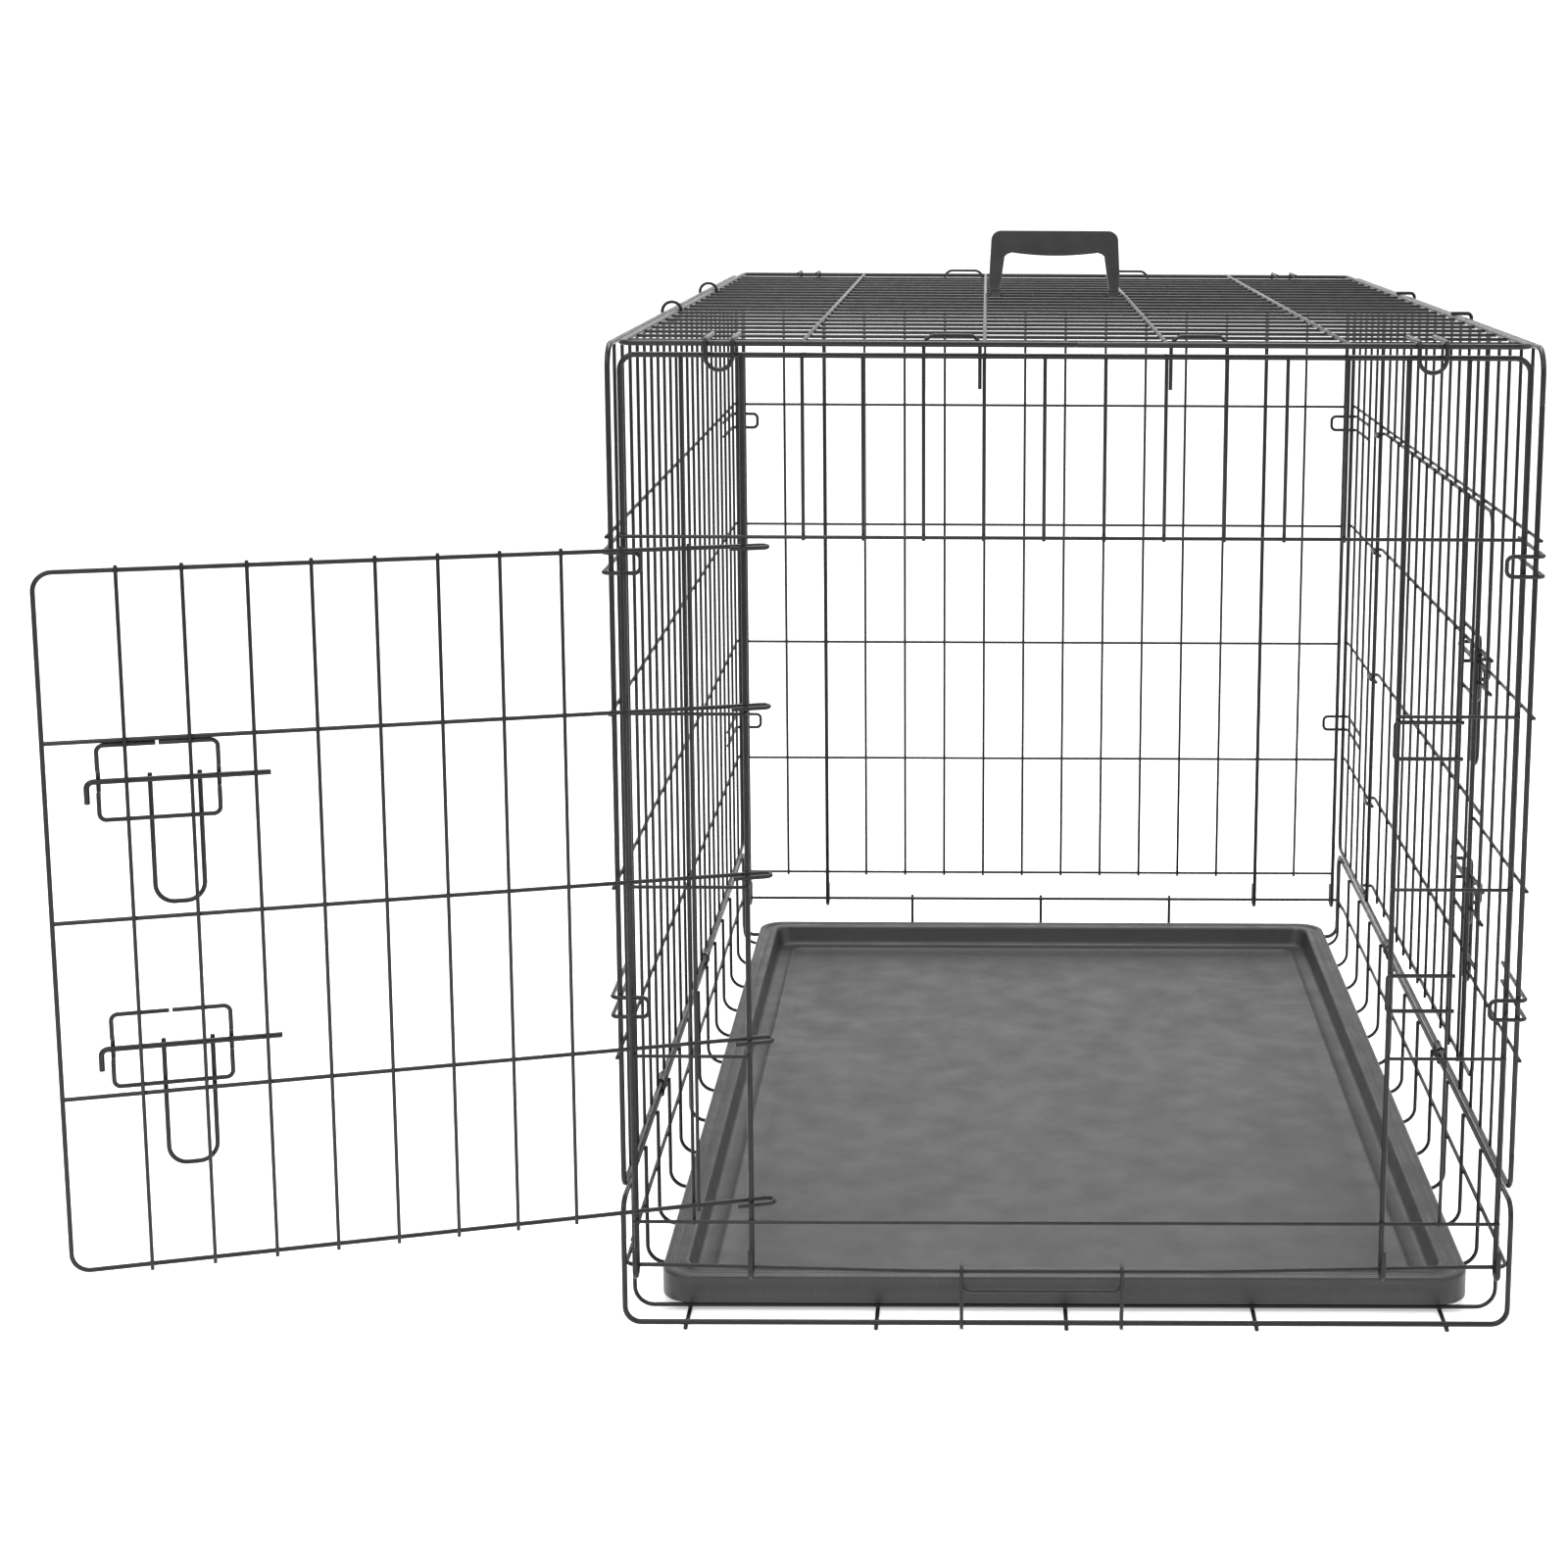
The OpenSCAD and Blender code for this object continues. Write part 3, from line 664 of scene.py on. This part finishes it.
def front_panel_wires():
    header = [upright(-END_HW + i * PITCH, HEAD_Z - UPRIGHT_END, TOP_Z) for i in range(3, 13)]
    header.append(end_rail(HEAD_Z))
    return {
        "front_panel_frame": [end_frame(GUARD_FRONT_Z)],
        "front_door_posts": hook_posts(GUARD_FRONT_Z),
        "front_panel_header": header,
        "front_panel_left_mesh": front_strip(-1),
        "front_panel_right_mesh": front_strip(1),
        "front_panel_sill": [end_rail(SILL_Z)],
        "front_panel_loops": top_loops(),
        "front_door_receivers": receivers(JAMB_X, 1, FRONT_BOLT_ZS),
    }


def rear_panel_wires():
    thin = [i for i in range(1, 15) if i not in (2, 13)]
    mesh = [upright(-END_HW + i * PITCH, SILL_Z - UPRIGHT_END, TOP_Z) for i in thin]
    mesh += [end_rail(SILL_Z + k * ROW_H) for k in range(5)]
    return {
        "rear_panel_frame": [end_frame(GUARD_REAR_Z)],
        "rear_panel_hook_posts": hook_posts(GUARD_REAR_Z),
        "rear_panel_mesh": mesh,
        "rear_panel_loops": top_loops(),
    }


# ---- top panel ----


def top_panel_wires():
    hx, hy, z = LID_HX, LID_HY, LID_Z
    step = 2 * hy / (CROSS_N + 1)
    clip_z = z + FRAME_R + LIGHT_R - WELD
    long_z = CROSS_Z + 2 * MESH_R - WELD
    (x0, x1), (near, far) = EDGE_CLIP_XS, EDGE_CLIP_YS
    under = (x1 - x0) / 2 - 0.1
    clip = wire([(x0, -near, clip_z), (x0, -far, clip_z), (x0, -far, EDGE_CLIP_Z), (x1, -far, EDGE_CLIP_Z),
                 (x1, -far, clip_z), (x1, -near, clip_z)], LIGHT_R, [0, 3, under, under, 3, 0])
    edge = wire([(0, -hy, z), (hx, -hy, z), (hx, hy, z), (-hx, hy, z), (-hx, -hy, z), (0, -hy, z)],
                FRAME_R, END_BEND)
    hooks = [wire([(hx - 3, y, clip_z), (LID_HOOK_X, y, clip_z), (LID_HOOK_X, y, LID_HOOK_Z)], LIGHT_R, 4)
             for y in RIGHT_HOOK_YS]
    return {
        "top_panel_frame": [edge],
        "top_panel_cross_wires": [rod((-hx, -hy + i * step, CROSS_Z), (hx, -hy + i * step, CROSS_Z), MESH_R)
                                  for i in range(1, CROSS_N + 1)],
        "top_panel_long_wires": [rod((i * 2 * hx / 5, -hy, long_z), (i * 2 * hx / 5, hy, long_z), MESH_R)
                                 for i in (-1.5, -0.5, 0.5, 1.5)],
        "top_panel_clips": mirrored(mirrored([clip], 0), 1),
        "top_panel_hooks": hooks,
    }


# ---- doors: drawn shut, hinge axis on z, reaching to +x, with the outside towards -y ----


def eye(z):
    """A rail's end, bent round the hinge post, listed from its tail."""
    return [(EYE_TAIL, EYE_OFF, z), (-EYE_END, EYE_OFF, z), (-EYE_END, -DOOR_OFF, z)]


def door_frame(w, heights):
    low, top = heights[0], heights[-1]
    points = eye(top) + [(w, -DOOR_OFF, top), (w, -DOOR_OFF, low)] + eye(low)[::-1]
    return [wire(points, DOOR_R, [0, EYE_BEND, EYE_BEND, DOOR_BEND, DOOR_BEND, EYE_BEND, EYE_BEND, 0])]


def door_mesh(w, heights, count):
    """The door's level wires, its hinge side wire and its other uprights, count of them."""
    low, top = heights[0] - DOOR_BAR_END, heights[-1] + DOOR_BAR_END
    wires = [wire(eye(z) + [(w, -DOOR_OFF, z)], LIGHT_R, EYE_BEND) for z in heights[1:-1]]
    step = (w - HINGE_GAP - FIRST_BAR - LAST_BAR) / (count - 1)
    xs = [HINGE_GAP] + [HINGE_GAP + FIRST_BAR + i * step for i in range(count)]
    return wires + [rod((x, -BAR_OFF, low), (x, -BAR_OFF, top), MESH_R) for x in xs]


def guide_loop(w, z):
    """A latch guide as one bent wire: its ends meet in the middle of the top with a small gap."""
    x1 = w - GUIDE_FAR
    x0 = x1 - GUIDE_W
    mid, top, low = (x0 + x1) / 2, z + GUIDE_H / 2, z - GUIDE_H / 2
    leg = [(-GUIDE_OFF, KINK_HALF), (-BOW_OFF, KINK_HALF), (-BOW_OFF, -KINK_HALF), (-GUIDE_OFF, -KINK_HALF)]
    points = [(mid + 1, -GUIDE_OFF, top), (x1, -GUIDE_OFF, top)] + [(x1, y, z + h) for y, h in leg]
    points += [(x1, -GUIDE_OFF, low), (x0, -GUIDE_OFF, low)] + [(x0, y, z + h) for y, h in leg[::-1]]
    points += [(x0, -GUIDE_OFF, top), (mid - 1, -GUIDE_OFF, top)]
    kink = [KINK_BEND] * 4
    corner = GUIDE_BEND
    return wire(points, LIGHT_R, [0, corner, *kink, corner, corner, *kink, corner, 0])


def door_bolt(w, z):
    """A slide bolt: a rod with its end bent down, and the thumb loop welded to it."""
    tip, x0 = w - BOLT_TIP, w - PULL_X
    x1, top, low = x0 + PULL_W, z + PULL_UP, z - PULL_DOWN
    out = -BOLT_OFF - FRAME_R - DOOR_R + WELD
    return [wire([(tip - BOLT_LENGTH, -BOLT_OFF, z), (tip, -BOLT_OFF, z), (tip, -BOLT_OFF, z - BOLT_TAB)],
                 FRAME_R, 5),
            wire([(x0, out, top), (x0, out, low), (x1, out, low), (x1, out, top)], DOOR_R, PULL_BEND)]


def build_door(name, place, w, heights, bolts, count):
    """A door of width w with rails at the heights, bolts at their own, and count uprights."""
    build_group(name, name, place, {
        name + "_frame": door_frame(w, heights),
        name + "_mesh": door_mesh(w, heights, count),
        name + "_latch_guides": [guide_loop(w, z) for z in bolts],
    })
    short = name.split("_")[0]
    for part, z in zip(("lower", "upper"), bolts):
        build_group(name + "_" + part + "_bolt", short + "_bolt_" + part, place,
                    {name + "_" + part + "_bolt": door_bolt(w, z)})


# ---- rings, sleeves and the tray stop ----


def build_rings():
    """Closed rings round the left panel's top wire and the top panel's edge."""
    bm = bmesh.new()
    cx, cz = -(SIDE_X + LID_HX) / 2 - 0.5, (SIDE_Z1 + LID_Z) / 2
    for y in LEFT_RING_YS:
        line = [Vector((cx + RING_R * math.cos(a), y, cz + RING_R * math.sin(a)))
                for a in (2 * math.pi * k / 48 for k in range(48))]
        add_tube(bm, line, MESH_R, closed=True)
    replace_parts(finish_mesh("rings_top_panel", bm, "top_panel", WIRE_MAT), "top_panel_rings")


def oval(r, steps=16):
    """Outline of a sleeve round two wires, one above the other."""
    low, high = HINGE_Z, SIDE_Z0
    lower = [(r * math.cos(a), low + r * math.sin(a)) for a in
             (math.pi + math.pi * k / steps for k in range(steps + 1))]
    upper = [(r * math.cos(a), high + r * math.sin(a)) for a in
             (math.pi * k / steps for k in range(steps + 1))]
    return lower + upper


def build_sleeves():
    """Crimped sleeves, waisted in the middle, with rolled ends.

    Each row of the profile is how far it stands off the wires, and how far along them it lies.
    """
    bm = bmesh.new()
    half = [(0.85, 0), (0.95, 5), (1.35, 9), (1.5, 10.5), (0.9, 11), (0.05, 10.4)]
    profile = [(grow, -along) for grow, along in half[:0:-1]] + half
    for side, ys in ((-1, LEFT_SLEEVE_YS), (1, RIGHT_SLEEVE_YS)):
        for y in ys:
            rings = []
            for grow, along in profile:
                rings.append([bm.verts.new(Vector((side * SIDE_X + px, y + along, pz)) * MM)
                              for px, pz in oval(FRAME_R + grow)])
            for low, high in zip(rings, rings[1:] + rings[:1]):
                for k in range(len(low)):
                    m = (k + 1) % len(low)
                    bm.faces.new((low[k], low[m], high[m], high[k]))
    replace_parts(finish_mesh("sleeves_base", bm, "crate", WIRE_MAT), "hinge_sleeves")


def tray_stop_wires():
    """Two legs curled round the front bow, and the bar between them."""
    wires = [wire([(x, -BASE_Y + STOP_EYE, STOP_TAIL_Z), (x, -BASE_Y + STOP_EYE, BASE_Z - STOP_EYE),
                   (x, -BASE_Y - STOP_EYE, BASE_Z - STOP_EYE), (x, -BASE_Y - STOP_EYE, STOP_TOP),
                   (x, -GUARD_Y + 2, STOP_TOP)], MESH_R, [0, STOP_EYE - 0.05, STOP_EYE - 0.05, 4, 0])
             for x in STOP_XS]
    y = -BASE_Y - 1.2
    (x0, x1), (low, high) = STOP_XS, STOP_BAR_Z
    wires.append(wire([(x0, y, high), (x0, y, low), (x1, y, low), (x1, y, high)], MESH_R, 8))
    return {"tray_stop": wires}


# ---- tray ----


def rounded_outline(hx, hy, r, steps=14):
    """A rectangle with round corners, counterclockwise from its right side."""
    points = []
    for quarter, (sx, sy) in enumerate(((1, 1), (-1, 1), (-1, -1), (1, -1))):
        for k in range(steps + 1):
            a = math.pi / 2 * (quarter + k / steps)
            points.append((sx * (hx - r) + r * math.cos(a), sy * (hy - r) + r * math.sin(a)))
    return points


def build_tray():
    """The tray's skin from the middle of its underside, round its rim, to the middle of its floor.

    Each row of the profile is how far in from the outline, and how far above the underside.
    """
    low, high = mm_box("floor_tray")
    hx, hy, z0, h = high.x, (high.y - low.y) / 2, low.z, high.z - low.z
    cy = (high.y + low.y) / 2
    profile = [
        (40, 0), (21, 0), (19.6, 0.5), (19, 1.6), (18.6, h - 4), (17.6, h - 2.6), (16, h - 2),
        (5, h - 2), (3.6, h - 2.5), (3, h - 4), (2.6, 0.8), (2.2, 0.1), (0.9, 0.1), (0.4, 0.7),
        (0.3, h - 3), (0.6, h - 1.2), (1.6, h - 0.2), (3, h), (6.2, h), (6.8, h - 0.35), (7.2, h - 1.1),
        (7.8, h - 1.5), (13.6, h - 1.5), (14.2, h - 1.1), (14.6, h - 0.35), (15.2, h), (18.6, h),
        (19.8, h - 0.3), (20.8, h - 1.2), (21.4, h - 3), (24.2, 7.5), (25.2, 5), (26.6, 3.6), (28.6, 3.05),
        (34, 3), (39, 3), (40, 3.7), (42, 4.1), (44, 3.7), (45, 3), (60, 3),
    ]
    bm = bmesh.new()
    rings = []
    for inset, height in profile:
        r = max(8, 26 - 0.42 * inset)
        rings.append([bm.verts.new(Vector((x, cy + y, z0 + height)) * MM)
                      for x, y in rounded_outline(hx - inset, hy - inset, r)])
    for a, b in zip(rings, rings[1:]):
        for k in range(len(a)):
            m = (k + 1) % len(a)
            bm.faces.new((a[k], a[m], b[m], b[k]))
    bm.faces.new(list(reversed(rings[0])))
    bm.faces.new(rings[-1])
    piece = finish_mesh("tray_shell", bm, "tray", TRAY_MAT, 40)
    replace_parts(piece, "floor_tray")


# ---- carry handle ----


def arc(cx, cz, r, start, end, steps=10):
    """Points on an arc, angles in degrees."""
    angles = [math.radians(start + (end - start) * k / steps) for k in range(steps + 1)]
    return [(cx + r * math.cos(a), cz + r * math.sin(a)) for a in angles]


def handle_outline(top):
    """The grip and legs from the front: up the left leg, over the top, down the right, then the hollow."""
    radius = HANDLE_CORNER
    corner_x, corner_z = 54.6, top - radius
    outline = [(-64.5, 5), (-67, 12)] + arc(-corner_x, corner_z, radius, 176, 90)
    outline += arc(corner_x, corner_z, radius, 90, 4) + [(67, 12), (64.5, 5), (57.5, 5), (55, 9)]
    hollow = [50 - 100 * k / 16 for k in range(17)]
    outline.append((50.8, top - HANDLE_HOLLOW - 1))
    outline += [(x, top - HANDLE_HOLLOW + 4 * (x / 50) ** 2) for x in hollow]
    return outline + [(-50.8, top - HANDLE_HOLLOW - 1), (-55, 9), (-57.5, 5)]


def add_prism(bm, front, back):
    """Faces between two matching outlines and over both: returns the two end faces."""
    for k in range(len(front)):
        m = (k + 1) % len(front)
        bm.faces.new((front[k], front[m], back[m], back[k]))
    return bm.faces.new(list(reversed(front))), bm.faces.new(back)


def build_handle():
    """The moulded carry handle: grip and legs in one rounded slab, and two feet round a wire."""
    low, high = mm_box("carry_handle")
    y = (low.y + high.y) / 2
    half = (high.y - low.y) / 2
    bm = bmesh.new()
    front, back = [[bm.verts.new(Vector((x, y + side * half, CROSS_Z + z)) * MM)
                    for x, z in handle_outline(high.z - CROSS_Z)] for side in (-1, 1)]
    add_prism(bm, front, back)
    edges = [e for e in bm.edges if abs(e.verts[0].co.y - e.verts[1].co.y) < 1e-6]
    bmesh.ops.bevel(bm, geom=edges, offset=2.2 * MM, segments=4, profile=0.5, affect="EDGES",
                    clamp_overlap=True)
    foot = arc(0, 0, 4.4, 180, 360, 14) + [(4.4, 8), (-4.4, 8)]
    for side in (-1, 1):
        inner, outer = [[bm.verts.new(Vector((x, y + py, CROSS_Z + pz)) * MM) for py, pz in foot]
                        for x in (side * HANDLE_FOOT_X - 5, side * HANDLE_FOOT_X + 5)]
        ends = add_prism(bm, inner, outer)
        rim = {e for f in ends for e in f.edges}
        bmesh.ops.bevel(bm, geom=list(rim), offset=0.8 * MM, segments=3, profile=0.5, affect="EDGES")
    bmesh.ops.triangulate(bm, faces=[f for f in bm.faces if len(f.verts) > 4])
    piece = finish_mesh("handle_moulding", bm, "carry_handle", HANDLE_MAT, 40)
    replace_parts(piece, "carry_handle")


# ---- build ----

build_group("base", "crate", WHOLE, base_wires())
build_group("left_panel", "crate", AT_LEFT, left_panel_wires())
build_group("right_panel", "crate", AT_RIGHT, right_panel_wires())
build_group("front_panel", "crate", AT_FRONT, front_panel_wires())
build_group("rear_panel", "rear_panel", AT_REAR, rear_panel_wires())
build_group("top_panel", "top_panel", WHOLE, top_panel_wires())
build_group("tray_stop", "tray_stop", WHOLE, tray_stop_wires())
build_door("front_door", IN_FRONT_DOOR, FRONT_DOOR_W, FRONT_DOOR_ZS, FRONT_BOLT_ZS, 9)
build_door("side_door", IN_SIDE_DOOR, SIDE_DOOR_W, SIDE_DOOR_ZS, SIDE_BOLT_ZS, 11)
build_rings()
build_sleeves()
build_tray()
build_handle()

# ---- studio ----


def build_floor():
    """A pale floor that sweeps up into a backdrop far behind."""
    bm = bmesh.new()
    half, back, rise = 9.0, 5.0, 6.0
    profile = [(-9.0, 0.0), (back, 0.0)]
    profile += [(back + 2 * math.sin(a), 2 - 2 * math.cos(a)) for a in
                (math.radians(6 * k) for k in range(1, 16))]
    profile.append((back + 2, rise))
    rows = [[bm.verts.new((x, y, z)) for x in (-half, half)] for y, z in profile]
    for a, b in zip(rows, rows[1:]):
        bm.faces.new((a[0], a[1], b[1], b[0]))
    mesh = bpy.data.meshes.new("studio_floor")
    bm.to_mesh(mesh)
    bm.free()
    mesh.shade_smooth()
    mesh.materials.append(plain_floor())
    floor = bpy.data.objects.new("studio_floor", mesh)
    bpy.context.scene.collection.objects.link(floor)


def area_light(name, place, target, size, watts):
    """A rectangular light at a place, turned towards a target."""
    data = bpy.data.lights.new(name, "AREA")
    data.shape = "RECTANGLE"
    data.size, data.size_y = size
    data.energy = watts
    light = bpy.data.objects.new(name, data)
    light.location = place
    light.rotation_euler = (Vector(target) - Vector(place)).to_track_quat("-Z", "Y").to_euler()
    bpy.context.scene.collection.objects.link(light)


def build_camera():
    """The picture's view: a little to the left of the middle, looking down by ten degrees."""
    pitch, yaw, roll = (math.radians(a) for a in (10.22, -0.26, 0.29))
    across = Matrix(((math.cos(yaw), math.sin(yaw), 0), (-math.sin(yaw), math.cos(yaw), 0), (0, 0, 1)))
    down = Matrix(((1, 0, 0), (0, math.cos(pitch), -math.sin(pitch)), (0, math.sin(pitch), math.cos(pitch))))
    tilt = Matrix(((math.cos(roll), 0, math.sin(roll)), (0, 1, 0), (-math.sin(roll), 0, math.cos(roll))))
    right, forward, up = tilt @ down @ across
    data = bpy.data.cameras.new("camera")
    data.sensor_width = 36
    data.lens = 61.9
    data.shift_x = -0.136
    data.shift_y = -0.100
    data.clip_end = 100
    camera = bpy.data.objects.new("camera", data)
    turn = Matrix((right, up, -forward)).transposed().to_4x4()
    camera.matrix_world = Matrix.Translation((-0.069, -2.622, 0.959)) @ turn
    bpy.context.scene.collection.objects.link(camera)
    bpy.context.scene.camera = camera


def build_light():
    area_light("key", (-1.6, -2.6, 3.4), (0, 0, 0.4), (2.4, 2.4), 95)
    area_light("fill", (3.0, -1.4, 2.4), (0, 0, 0.4), (2.4, 2.0), 45)
    area_light("top", (0, 0.9, 3.6), (0, 0.2, 0), (2.2, 2.2), 125)
    world = bpy.data.worlds.new("studio")
    world.use_nodes = True
    background = world.node_tree.nodes["Background"]
    background.inputs["Color"].default_value = (1, 1, 1, 1)
    background.inputs["Strength"].default_value = 0.85
    bpy.context.scene.world = world
    bpy.context.scene.view_settings.view_transform = "Standard"


build_floor()
build_light()
build_camera()
